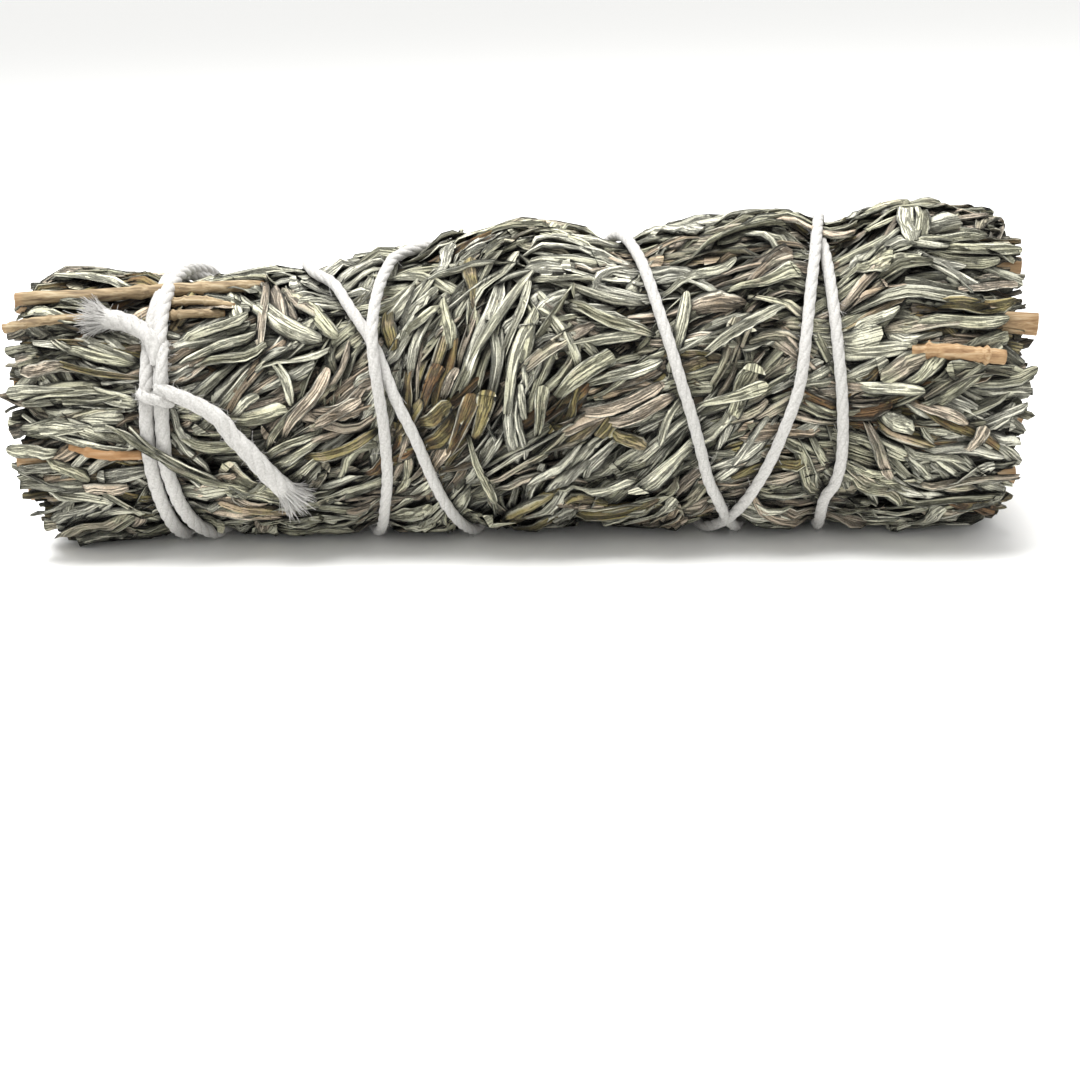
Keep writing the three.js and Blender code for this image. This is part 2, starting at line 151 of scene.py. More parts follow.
# String: its route as place along the bundle, turn in degrees and lift
string = {
    "radii": [[-36, 0.8], [-30, 0.7], [-20, 0.62], [54, 0.62]],  # place along the bundle, radius there
    "tailRadii": (0.8, 1.15), "loopRadius": 0.62,
    "lift": -0.2,
    "plies": 4,
    "plyShare": 0.66,  # a ply's radius as a share of the string's
    "twistLength": 7,
    "step": 0.55,
    "aboveTable": 0.08,
    "winding": [
        [-36.3, 30, 0.6], [-36.4, 10, 0.2], [-36.6, -10, 0], [-36.4, -20, 0], [-36, -35, 0], [-35, -55, 0],
        [-32, -95, 0], [-28.5, -150, 0], [-25.5, -205, 0], [-23.5, -250, 0], [-21.5, -280, 0],
        [-18.5, -296, 0], [-16.5, -310, 0], [-13.5, -329, 0], [-11.5, -348, 0], [-9.5, -365, 0],
        [-8, -384, 0], [-6.5, -404, 0], [-3, -450, 0], [2, -500, 0], [6.5, -550, 0], [10.5, -600, 0],
        [13.3, -642, 0], [14.3, -656, 0], [15.7, -677, 0], [17.8, -704, 0], [18.9, -717, 0], [20, -732, 0],
        [21, -747, 0], [22.5, -763, 0], [26, -810, 0], [29.5, -870, 0], [31.5, -930, 0], [33, -985, 0],
        [33.4, -1010, 0], [33.8, -1045, 0], [34.4, -1075, 0], [34.6, -1094, 0], [34.2, -1108, 0],
        [33.2, -1122, 0], [34, -1170, 0], [35, -1230, 0], [35.5, -1290, 0.2], [34, -1338, 1.1],
        [33.2, -1356, 1.2], [32.5, -1372, 0.8], [31.4, -1396, 0.1], [30.7, -1413, 0], [30, -1430, 0],
        [28.5, -1446, 0], [27, -1460, 0], [25.3, -1475, 0], [23.5, -1490, 0], [18.5, -1530, 0],
        [10, -1590, 0.4], [5.5, -1620, 1.5], [1, -1650, 0.5], [-7, -1690, 0], [-11.9, -1717, 0.1],
        [-12.8, -1732, 0.5], [-13.5, -1754, 1.4], [-13.6, -1769, 1.5], [-13.1, -1785, 0.9],
        [-12.8, -1800, 0.1], [-12.9, -1818, 0], [-13.7, -1836, 0], [-15.5, -1865, 0], [-20, -1910, 0.1],
        [-24, -1947, 0.6], [-27.5, -1975, 1.5], [-31, -2003, 0.6], [-35, -2038, 0.1], [-37.5, -2072, 0.1],
        [-37.6, -2088, 0.1], [-37.8, -2110, 0.1], [-37.9, -2135, 0.1], [-38.1, -2155, 0.1],
        [-38.2, -2172, 0], [-38, -2195, 0], [-37.8, -2220, 0], [-37, -2290, 0], [-36.2, -2350, 0.3],
        [-35.3, -2390, 1.4], [-36.3, -2415, 0.7], [-36.7, -2438, 0.5], [-36.8, -2460, 0.7],
        [-36.5, -2482, 0.9],
    ],
    "upperTail": [
        [-36.5, 31, 1], [-37, 38, 1.4], [-38, 43, 1.5], [-40, 48, 1.1], [-41.5, 50, 0.9], [-43, 51, 0.8],
    ],
    "lowerTail": [
        [-36.6, 21, 1.3], [-35.5, 20, 1.4], [-34, 18, 1.2], [-31.8, 14, 1], [-30, 9, 0.9], [-29, 3, 0.8],
        [-27.6, -3, 0.8], [-26.3, -10, 0.8], [-25, -17, 0.8], [-23.7, -23, 0.9],
    ],
    "knotLoops": [
        [[-36.3, 41, 0.2], [-36, 35, 1.3], [-36, 27, 1.4], [-36.2, 19, 1.2], [-36.5, 13, 0.2]],
        [[-38.5, 20, 0], [-37.8, 18, 1.4], [-36.5, 17, 1.8], [-35.3, 16, 0.2]],
    ],
}


def stringPath(route):  # the middle line of a length of string, in millimetres
    rows = curveThrough(route, string["step"])
    spots = place(rows[:, 0], rows[:, 1] * degree, rows[:, 2] + string["lift"])
    spots[:, 2] = np.maximum(spots[:, 2], along(string["radii"], spots[:, 0]) + string["aboveTable"])
    return spots


windingPath = stringPath(string["winding"])
tailPaths = [stringPath(string["upperTail"]), stringPath(string["lowerTail"])]
loopPaths = [stringPath(route) for route in string["knotLoops"]]

pressed = {"near": 0.8, "far": 3.0, "height": -1.2, "kept": 0.25}  # how the string presses leaves down
stringTree = kdtree.KDTree(len(windingPath) + sum(map(len, tailPaths)))
for number, spot in enumerate(np.vstack([windingPath] + tailPaths)):
    stringTree.insert(spot, number)
stringTree.balance()


def pressUnderString(x, turn, height):
    spots = place(x, turn, string["lift"] + 0 * height).reshape(-1, 3)
    distances = np.array([stringTree.find(spot)[2] for spot in spots]).reshape(np.shape(x))
    press = 1 - smooth(pressed["near"], pressed["far"], distances)
    return mix(height, pressed["height"] + pressed["kept"] * (height + 1), press)


print("camera and string route ready")


# Materials
def hexColour(code):  # an sRGB hex value as linear red, green, blue and alpha
    parts = [int(code[i:i + 2], 16) / 255 for i in (1, 3, 5)]
    return tuple(c / 12.92 if c <= 0.04045 else ((c + 0.055) / 1.055) ** 2.4 for c in parts) + (1.0,)


def addNode(tree, kind, inputs=None, **settings):
    made = tree.nodes.new("ShaderNode" + kind)
    for name, value in settings.items():
        setattr(made, name, value)
    for socket, value in (inputs or {}).items():
        if isinstance(value, bpy.types.NodeSocket):
            tree.links.new(value, made.inputs[socket])
        else:
            made.inputs[socket].default_value = value
    return made


def newMaterial(name):
    material = bpy.data.materials.new(name)
    material.use_nodes = True
    return material, material.node_tree, material.node_tree.nodes["Principled BSDF"]


def fillRamp(ramp, stops):
    elements = ramp.color_ramp.elements
    while len(elements) < len(stops):
        elements.new(0.5)
    for element, (position, code) in zip(elements, stops):
        element.position = position
        element.color = hexColour(code)


def remap(tree, value, low, high, toLow=0.0, toHigh=1.0, **settings):  # a range of values moved to another
    return addNode(tree, "MapRange", {"Value": value, "From Min": low, "From Max": high,
                                      "To Min": toLow, "To Max": toHigh}, **settings).outputs[0]


def calculate(tree, operation, *values, **settings):
    return addNode(tree, "Math", dict(enumerate(values)), operation=operation, **settings).outputs[0]


def splitTraits(tree):  # tone or share of orange, lightness, seed
    traits = addNode(tree, "Attribute", attribute_name="leafTraits")
    return addNode(tree, "SeparateColor", {"Color": traits.outputs["Color"]})


def makeBumps(tree, shader, height, strength, depth):
    bump = addNode(tree, "Bump", {"Height": height, "Strength": strength, "Distance": depth})
    tree.links.new(bump.outputs[0], shader.inputs["Normal"])


leafLook = {
    "tones": [(0.0, "#D6D4C3"), (0.2, "#C8C6B0"), (0.4, "#B2B095"), (0.56, "#C4B6A2"),
              (0.72, "#A8967E"), (0.86, "#857C52"), (1.0, "#6B5238")],
    "veinsAcross": 5, "veinsAlong": 1.2,  # wrinkles over a leaf's width and length
    "blotchSize": 2.5 * mm, "feltSize": 0.16 * mm, "pitSize": 0.9 * mm,
    "wrinkleDepth": 0.36 * mm, "feltDepth": 0.05 * mm,
    "seedShift": 60,  # leaves take their wrinkles from places this far apart
    "toneShift": (-0.09, 0.11), "creaseWidth": 0.055,
    # the first pair is painted shade in the wrinkles' creases and painted light on their ridges; pits and felt
    # grain are the leaf's own marks
    "paintedCreaseShadeAndRidgeLight": (0.46, 1.14), "pitLight": (0.72, 1.0), "grainLight": (0.74, 1.2),
    "crevice": 1.3 * mm,  # painted shade: leaves darken where others lie this close over them
    "creviceCover": (0.38, 0.73), "creviceLight": (0.02, 1.02),
    "rim": "#CFCFBF", "rimShare": 0.55, "rimFrom": (0.37, 0.43),  # the pale rim, partly the leaf's paler margin and partly a painted highlight on its curled edge, as distance from the midrib
    # painted shade: each leaf's very edge is darkened where it curls under
    "paintedEdgeShade": 0.3, "edgeFrom": (0.455, 0.49),
}


def drySageLeaf():  # dried sagebrush leaf: matt, felted with pale hairs, wrinkled lengthwise as it shrank
    material, tree, shader = newMaterial("drySageLeaf")
    split = splitTraits(tree)
    tone, light, seed = split.outputs[0], split.outputs[1], split.outputs[2]
    leafMap = addNode(tree, "UVMap", uv_map="leafMap")
    mapped = addNode(tree, "SeparateXYZ", {0: leafMap.outputs[0]})
    shift = calculate(tree, "MULTIPLY", seed, leafLook["seedShift"])
    ownMap = addNode(tree, "CombineXYZ", {0: mapped.outputs[0], 1: mapped.outputs[1], 2: shift})
    stretched = addNode(tree, "Mapping", {"Vector": ownMap.outputs[0],
                                          "Scale": (leafLook["veinsAcross"], leafLook["veinsAlong"], 1)})
    veins = addNode(tree, "TexNoise", {"Vector": stretched.outputs[0], "Scale": 1.0, "Detail": 5.0,
                                       "Roughness": 0.68})
    objectMap = addNode(tree, "TexCoord").outputs["Object"]
    blotches = addNode(tree, "TexNoise", {"Vector": objectMap, "Scale": 1 / leafLook["blotchSize"],
                                          "Detail": 4.0, "Roughness": 0.65})
    felt = addNode(tree, "TexNoise", {"Vector": objectMap, "Scale": 1 / leafLook["feltSize"], "Detail": 2.0})
    pits = addNode(tree, "TexVoronoi", {"Vector": objectMap, "Scale": 1 / leafLook["pitSize"]})
    shiftedTone = remap(tree, blotches.outputs[0], 0.3, 0.7, *leafLook["toneShift"])
    toneSum = calculate(tree, "ADD", tone, shiftedTone, use_clamp=True)
    ramp = addNode(tree, "ValToRGB", {"Fac": toneSum})
    fillRamp(ramp, leafLook["tones"])
    fold = calculate(tree, "ABSOLUTE", calculate(tree, "SUBTRACT", veins.outputs[0], 0.5))  # 0 along a crease
    puff = remap(tree, fold, 0.0, leafLook["creaseWidth"], interpolation_type="SMOOTHSTEP")
    # painted shade in the crevices, darker where other leaves lie close over a point
    paintedCreviceShade = addNode(tree, "AmbientOcclusion", {"Distance": leafLook["crevice"]}, samples=3)
    fromRib = calculate(tree, "ABSOLUTE", calculate(tree, "SUBTRACT", mapped.outputs[0], 0.5))
    # the pale rim: the paler margin, with a painted highlight where the edge curls up
    rim = remap(tree, fromRib, *leafLook["rimFrom"], 0.0, leafLook["rimShare"])
    # painted shade in the creases and painted light on the ridges between them
    shade = remap(tree, puff, 0.0, 1.0, *leafLook["paintedCreaseShadeAndRidgeLight"])
    # speckle pits and felt grain are the leaf's own marks; the lightness trait carries painted shade on deep
    # leaves and in gaps; the crevice and edge factors are painted shade
    for share in (
            remap(tree, pits.outputs["Distance"], 0.08, 0.2, *leafLook["pitLight"]),
            remap(tree, felt.outputs[0], 0.3, 0.7, *leafLook["grainLight"]),
            light,
            remap(tree, paintedCreviceShade.outputs["AO"], *leafLook["creviceCover"], *leafLook["creviceLight"]),
            remap(tree, fromRib, *leafLook["edgeFrom"], 1.0, leafLook["paintedEdgeShade"])):
        shade = calculate(tree, "MULTIPLY", shade, share)
    rimmed = addNode(tree, "Mix", {0: rim, 6: ramp.outputs[0], 7: hexColour(leafLook["rim"])}, data_type="RGBA")
    shaded = addNode(tree, "VectorMath", {0: rimmed.outputs[2], "Scale": shade}, operation="SCALE")
    tree.links.new(shaded.outputs[0], shader.inputs["Base Color"])
    wrinkles = addNode(tree, "Bump", {"Height": puff, "Strength": 1.0,
                                      "Distance": leafLook["wrinkleDepth"]})
    hairs = addNode(tree, "Bump", {"Height": felt.outputs[0], "Strength": 0.6,
                                   "Distance": leafLook["feltDepth"], "Normal": wrinkles.outputs[0]})
    tree.links.new(hairs.outputs[0], shader.inputs["Normal"])
    shader.inputs["Roughness"].default_value = 0.88
    shader.inputs["Specular IOR Level"].default_value = 0.25
    shader.inputs["Sheen Weight"].default_value = 0.14  # the pale hairs catch light at grazing angles
    shader.inputs["Sheen Roughness"].default_value = 0.45
    shader.inputs["Sheen Tint"].default_value = hexColour("#E8EAE0")
    return material


barkLook = {"fibreWidth": 0.35 * mm, "fibreLength": 6 * mm, "ridgeDepth": 0.12 * mm, "orange": "#9C6A3A"}


def woodyBark():  # bark of a dry twig: matt, split into long fibres, weathered pale on its ridges
    material, tree, shader = newMaterial("woodyBark")
    split = splitTraits(tree)
    objectMap = addNode(tree, "TexCoord").outputs["Object"]
    grain = addNode(tree, "Mapping", {"Vector": objectMap, "Scale": (
        1 / barkLook["fibreLength"], 1 / barkLook["fibreWidth"], 1 / barkLook["fibreWidth"])})
    fibres = addNode(tree, "TexNoise", {"Vector": grain.outputs[0], "Scale": 1.0, "Detail": 5.0,
                                        "Roughness": 0.6})
    ramp = addNode(tree, "ValToRGB", {"Fac": fibres.outputs[0]})
    fillRamp(ramp, [(0.25, "#40362B"), (0.4, "#75654F"), (0.52, "#988566"), (0.66, "#B5A68A")])
    cut = addNode(tree, "Mix", {0: split.outputs[0], 6: ramp.outputs[0], 7: hexColour(barkLook["orange"])},
                  data_type="RGBA")
    shaded = addNode(tree, "VectorMath", {0: cut.outputs[2], "Scale": split.outputs[1]}, operation="SCALE")
    tree.links.new(shaded.outputs[0], shader.inputs["Base Color"])
    makeBumps(tree, shader, fibres.outputs[0], 0.9, barkLook["ridgeDepth"])
    shader.inputs["Roughness"].default_value = 0.8
    shader.inputs["Specular IOR Level"].default_value = 0.3
    return material


def grainyMaterial(name, size, stops, noise, bump):  # one noise gives its colours and its bumps
    material, tree, shader = newMaterial(name)
    objectMap = addNode(tree, "TexCoord").outputs["Object"]
    grains = addNode(tree, "TexNoise", {"Vector": objectMap, "Scale": 1 / size, **noise})
    ramp = addNode(tree, "ValToRGB", {"Fac": grains.outputs[0]})
    fillRamp(ramp, stops)
    tree.links.new(ramp.outputs[0], shader.inputs["Base Color"])
    makeBumps(tree, shader, grains.outputs[0], *bump)
    return material, shader


def cutPith():  # a twig's cut end: pale spongy pith inside an orange-brown ring of wood
    stops = [(0.3, "#7A4A1C"), (0.45, "#B97A34"), (0.58, "#D9AE68"), (0.72, "#EBD9A8")]
    material, shader = grainyMaterial("cutPith", 0.35 * mm, stops, {"Detail": 4.0}, (0.8, 0.1 * mm))
    shader.inputs["Roughness"].default_value = 0.9
    return material


def spunCotton():  # undyed bleached cotton: white, soft and matt, with short fibres along the twist
    stops = [(0.3, "#9C9A95"), (0.5, "#B0AEAA"), (0.7, "#C0BEBA")]
    noise = {"Detail": 4.0, "Roughness": 0.7}
    material, shader = grainyMaterial("spunCotton", 0.22 * mm, stops, noise, (0.7, 0.07 * mm))
    shader.inputs["Roughness"].default_value = 0.95
    shader.inputs["Sheen Weight"].default_value = 0.3
    shader.inputs["Specular IOR Level"].default_value = 0.2
    return material


leafMaterial = drySageLeaf()
barkMaterial = woodyBark()
pithMaterial = cutPith()
cottonMaterial = spunCotton()
print("materials ready")


def pieceFrom(bm, name, materials):
    mesh = bpy.data.meshes.new(name)
    bm.to_mesh(mesh)
    bm.free()
    for material in materials:
        mesh.materials.append(material)
    piece = bpy.data.objects.new(name, mesh)
    bpy.context.scene.collection.objects.link(piece)
    return piece


# A closed rod along z from -0.5 to 0.5, its sides split into rings: leaves and twigs are shaped from it
class Template:
    def __init__(self, name, segments, rings):
        bm = bmesh.new()
        bmesh.ops.create_cone(bm, cap_ends=True, segments=segments, radius1=1, radius2=1, depth=1)
        long = [edge for edge in bm.edges if abs(edge.verts[0].co.z - edge.verts[1].co.z) > 0.5]
        bmesh.ops.subdivide_edges(bm, edges=long, cuts=rings - 1)
        self.count = len(bm.verts)
        spots = np.array([vert.co[:] for vert in bm.verts])
        self.s = np.round((spots[:, 2] + 0.5) * rings) / rings
        turns = np.arctan2(spots[:, 1], spots[:, 0]) / (2 * math.pi)
        self.corner = np.round(turns * segments).astype(int) % segments
        self.segments = segments
        layer = bm.loops.layers.uv.new("leafMap")
        widths = self.across() / 2 + 0.5
        for face in bm.faces:
            for loop in face.loops:
                loop[layer].uv = (widths[loop.vert.index], self.s[loop.vert.index])
            face.material_index = 1 if len(face.verts) > 4 else 0
            face.smooth = len(face.verts) == 4
        self.mesh = bpy.data.meshes.new(name)
        bm.to_mesh(self.mesh)
        bm.free()

    def across(self):  # from 1 to -1 over the upper side; the last corner is under the middle
        upper = self.corner < self.segments - 1
        return np.where(upper, 1 - 2 * self.corner / (self.segments - 2), 0.0)

    def under(self):
        return self.corner == self.segments - 1


fineLeaf = Template("fineLeaf", 8, 7)
plainLeaf = Template("plainLeaf", 6, 7)
twigTube = Template("twigTube", 12, 24)

outlines = {  # share of a leaf's length, share of its full width there
    "toothed": [[0, 0.4], [0.3, 0.55], [0.6, 0.75], [0.82, 1], [1, 0.98]],
    "strap": [[0, 0.5], [0.3, 0.85], [0.6, 1], [0.85, 0.95], [1, 0.6]],
    "narrow": [[0, 0.6], [0.5, 1], [0.85, 0.8], [1, 0.2]],
    "cut": [[0, 0.6], [0.5, 1], [1, 1]],
}
kinds = list(outlines)
leafShape = {
    "toothStations": [-1, -0.67, -0.33, 0, 0.33, 0.67, 1],
    "toothReach": [-0.5, 0.6, -1, 1, -1, 0.6, -0.5],  # how far the tip's edge stands out, in notch depths
    "tipFrom": 0.85, "bluntness": 0.5,
    "rootWrinkle": 0.35, "wrinkleRun": 1.1,  # wrinkles are shallower at the root and the tip
    "rollPower": 2.5, "crimpSlant": 2.4, "midCrimp": 0.3,
    "rootEnd": 0.3, "tipStart": 0.55,  # shares of the length over which a leaf rises and settles
    "ripples": 1.7, "rippleShift": 3,
    "leastRadius": 2.5,
    "notch": (0.05, 0.1), "foldDepth": (0.08, 0.34), "foldCount": (0.8, 2.4), "foldPhase": (0, 6.3),
    "edgeRoll": (-0.95, 0.5), "crimp": (0, 0.2), "crimpCount": (1.2, 2.8), "arch": (-0.2, 0.5),
    "curl": 0.5, "sway": 0.3, "tilt": 0.42, "twist": 0.8, "ripple": 0.14,  # scatter about straight and flat
    "ragged": (0.2, 3.6), "tone": (0, 0.6), "light": (0.82, 1.1), "height": -0.5,
}


def leafRows(leaves):  # the traits of many leaves as columns
    return {name: np.array([leaf[name] for leaf in leaves], float)[:, None] for name in leaves[0]}


def shapeLeaves(template, leaves):
    s, v = template.s[None, :], template.across()[None, :]
    own = leafRows(leaves)
    toothed = own["kind"] == kinds.index("toothed")
    tipRow = smooth(leafShape["tipFrom"], 1, s)
    teeth = np.interp(v[0], leafShape["toothStations"], leafShape["toothReach"])[None, :]
    reach = s + tipRow * own["notch"] * np.where(toothed, teeth, -leafShape["bluntness"] * v * v)
    wide = sum(np.where(own["kind"] == k, along(outlines[kind], s), 0) for k, kind in enumerate(kinds))
    across = v * wide * own["halfWidth"]
    wrinkle = own["foldDepth"] * np.cos(math.pi * own["foldCount"] * v + own["foldPhase"])
    middle = np.sin(math.pi * np.clip(s * leafShape["wrinkleRun"], 0, 1))
    wrinkle = wrinkle * mix(leafShape["rootWrinkle"], 1, middle)
    rolled = own["edgeRoll"] * np.abs(v) ** leafShape["rollPower"] * wide * own["halfWidth"]
    crimpTurn = 2 * math.pi * (own["crimpCount"] * s + own["seed"]) + leafShape["crimpSlant"] * v
    crimp = own["crimp"] * np.sin(crimpTurn)
    up = wrinkle + rolled + crimp * (leafShape["midCrimp"] + (1 - leafShape["midCrimp"]) * v * v)
    up = up - np.where(template.under()[None, :], own["thickness"], 0)
    heading = own["lean"] + own["curl"] * (s - 0.5)
    chord = own["lean"] + own["curl"] * (s - 0.5) / 2
    run = own["length"] * (reach - 0.5)
    swing = own["sway"] * np.sin(2 * math.pi * (s + own["seed"]))
    lie = own["tilt"] + own["twist"] * (s - 0.5)
    sideways = across * np.cos(lie) - up * np.sin(lie) + swing
    body = mix(own["rootHeight"], own["height"], smooth(0, leafShape["rootEnd"], s))
    body = mix(body, own["tipHeight"], smooth(leafShape["tipStart"], 1, s)) + own["arch"] * np.sin(math.pi * s)
    rippleTurn = 2 * math.pi * (leafShape["ripples"] * s + leafShape["rippleShift"] * own["seed"])
    body = body + own["ripple"] * np.sin(rippleTurn)
    height = body + across * np.sin(lie) + up * np.cos(lie)
    x = own["x"] + run * np.cos(chord) - sideways * np.sin(heading)
    past = np.maximum(np.abs(x).max(axis=1, keepdims=True) - own["endsAt"], 0)
    x = x - np.sign(own["x"]) * past
    radius = np.maximum(along(bundle["radii"], x) + body, leafShape["leastRadius"])
    turn = own["turn"] + (run * np.sin(chord) + sideways * np.cos(heading)) / radius
    if template is fineLeaf:
        height = mix(height, pressUnderString(x, turn, height), own["pressed"])
    return place(x, turn, height)


def traitColours(template, leaves):  # tone, lightness with painted shade on the deeper leaves, and seed for the material, repeated on each leaf's points
    own = leafRows(leaves)
    # painted shade: deeper leaves are darkened
    depth = mix(leafField["paintedDeepShade"], 1, smooth(*leafField["darkBelow"], own["height"]))
    rows = np.hstack([own["tone"], own["light"] * depth, own["seed"], own["seed"] * 0 + 1])
    return np.repeat(rows, template.count, axis=0)


def buildPiece(name, batches, materials):  # each batch: a template, its copies' points and their traits
    bm = bmesh.new()
    for template, spots, traits in batches:
        for _ in range(len(spots)):
            bm.from_mesh(template.mesh)
    piece = pieceFrom(bm, name, materials)
    mesh = piece.data
    spots = np.concatenate([batch[1].reshape(-1, 3) for batch in batches])
    mesh.vertices.foreach_set("co", (spots * mm).astype(np.float32).ravel())
    traits = np.concatenate([batch[2] for batch in batches])
    colours = mesh.attributes.new("leafTraits", "FLOAT_COLOR", "POINT")
    colours.data.foreach_set("color", traits.astype(np.float32).ravel())
    mesh.update()
    return piece


# How the leaves lie
leafField = {
    "alongCount": 46, "roundCount": 20,  # clumps of leaves along the bundle and round it
    "perClump": 4, "spacing": (0.7, 1.35), "shiftAlong": 3.0, "fan": 0.1,
    "lengths": (6, 14), "halfWidths": (0.5, 1.05), "toothedWiden": 1.35, "thickness": (0.3, 0.5),
    "reach": (-52, 53),  # the clumps' middles lie between these places
    "clumpHeights": (-2.3, -0.2), "leafHeights": 0.35, "rootDepth": (0.9, 1.9), "tipRise": (-0.3, 0.4),
    "leanScatter": 0.3, "clumpScatter": 0.36, "turnScatter": 0.4,
    "reversedShare": 0.25, "reversedLeft": 0.5, "leftUpTo": -42,  # leaves that point the other way
    "toneScatter": 0.07, "lightScatter": (0.88, 1.12), "clumpLights": (0.7, 1.1),
    "toneShares": [(0.62, 0.0, 0.4), (0.88, 0.4, 0.68), (1.0, 0.68, 0.98)],  # up to this share: tone from, to
    "paintedDeepShade": 0.28, "darkBelow": (-2.2, -0.5),  # painted shade: the deepest leaves are this dark, from these heights down
    "toothedShare": 0.45, "highest": 0.45, "lowest": -2.6,
    "bluntUpTo": -45,  # leaves are cut off square where the bundle was cut from the plant
    "leanRadius": 16.5, "leanBlur": 4,
    "leanGuides": [  # place along the bundle, turn round it, lean of the leaves there; in degrees
        [-48, 60, 0], [-48, 25, -5], [-48, -25, 10], [-42, 35, -15], [-42, 0, -10], [-33, 45, 35],
        [-33, 25, 20], [-30, -15, -25], [-30, -40, 5], [-24, 65, -50], [-22, 10, 50], [-20, -15, 25],
        [-14, 65, 45], [-10, 45, 50], [-7, 20, 60], [-5, 0, 60], [-3, 45, 60], [-3, -30, 50], [0, 70, 20],
        [3, 0, 80], [3, -30, 70], [5, 15, 40], [6, 60, 0], [8, 45, -20], [9, -25, 30], [12, 12, 20],
        [15, -5, 45], [20, 50, 30], [22, 68, -10], [24, 25, 25], [25, 0, 10], [27, -20, 15], [30, 80, 10],
        [36, 45, 0], [38, 72, 40], [38, -10, -50], [40, 28, 15], [40, 5, -20], [44, -25, -25], [46, 50, 5],
        [46, 30, -10], [47, 5, 15], [48, -40, 10], [-20, -85, 15], [25, -85, 15], [-40, 120, 10],
        [-45, 180, -5], [-20, 200, 20], [5, 150, 30], [30, 180, -10], [40, 110, -5],
    ],
}


def leanAt(x, turn):
    guides = np.array(leafField["leanGuides"], float)
    across = 2 * np.sin((turn - guides[:, 1] * degree) / 2) * leafField["leanRadius"]
    weight = 1 / ((x - guides[:, 0]) ** 2 + across ** 2 + leafField["leanBlur"]) ** 2
    lean = guides[:, 2] * degree
    return math.atan2((weight * np.sin(lean)).sum(), (weight * np.cos(lean)).sum())


def oneLeaf(rng, **given):  # a leaf's traits; what isn't given is drawn
    height = given.get("height", leafShape["height"])

    def between(trait):
        return rng.uniform(*leafShape[trait])

    def about(trait):
        return rng.normal(0, leafShape[trait])

    leaf = {
        "x": 0, "turn": 0, "lean": 0, "length": rng.uniform(*leafField["lengths"]),
        "halfWidth": rng.uniform(*leafField["halfWidths"]), "kind": kinds.index("strap"),
        "notch": between("notch"), "thickness": rng.uniform(*leafField["thickness"]),
        "foldDepth": between("foldDepth"), "foldCount": between("foldCount"), "foldPhase": between("foldPhase"),
        "edgeRoll": between("edgeRoll"), "curl": about("curl"),
        "crimp": between("crimp"), "crimpCount": between("crimpCount"),
        "sway": about("sway"), "tilt": about("tilt"), "twist": about("twist"),
        "height": height, "rootHeight": height - rng.uniform(*leafField["rootDepth"]),
        "tipHeight": min(height + rng.uniform(*leafField["tipRise"]), leafField["highest"]),
        "arch": between("arch"), "ripple": about("ripple"), "endsAt": bundle["end"] - between("ragged"),
        "tone": between("tone"), "light": between("light"), "seed": rng.uniform(0, 1), "pressed": 1,
    }
    leaf.update(given)
    return leaf


gaps = {  # where a hole between the leaves shows, with painted shade on the sunk leaves: place, turn in degrees, radius
    "spots": [
        [23.5, 36, 2.6], [12, 30, 2], [40, 12, 1.8], [8, 19, 1.5], [26, -10, 1.5], [-33, 12, 2], [-22, -9, 1.5],
    ],
    # leaves in a gap sink this far and get this lightness, which is painted shade
    "sink": 1.9, "light": 0.2, "rim": (0.6, 1.4),  # a gap's side, as shares of its radius
}


def inGap(x, turn):  # from 0 outside every gap to 1 at a gap's middle
    deepest = 0
    for gapX, gapTurn, radius in gaps["spots"]:
        up = (turn - gapTurn * degree) * float(along(bundle["radii"], gapX))
        near, far = (share * radius for share in gaps["rim"])
        deepest = max(deepest, 1 - float(smooth(near, far, math.hypot(x - gapX, up))))
    return deepest


def drawTone(rng):
    pick = rng.uniform()
    for share, low, high in leafField["toneShares"]:
        if pick < share:
            return rng.uniform(low, high)


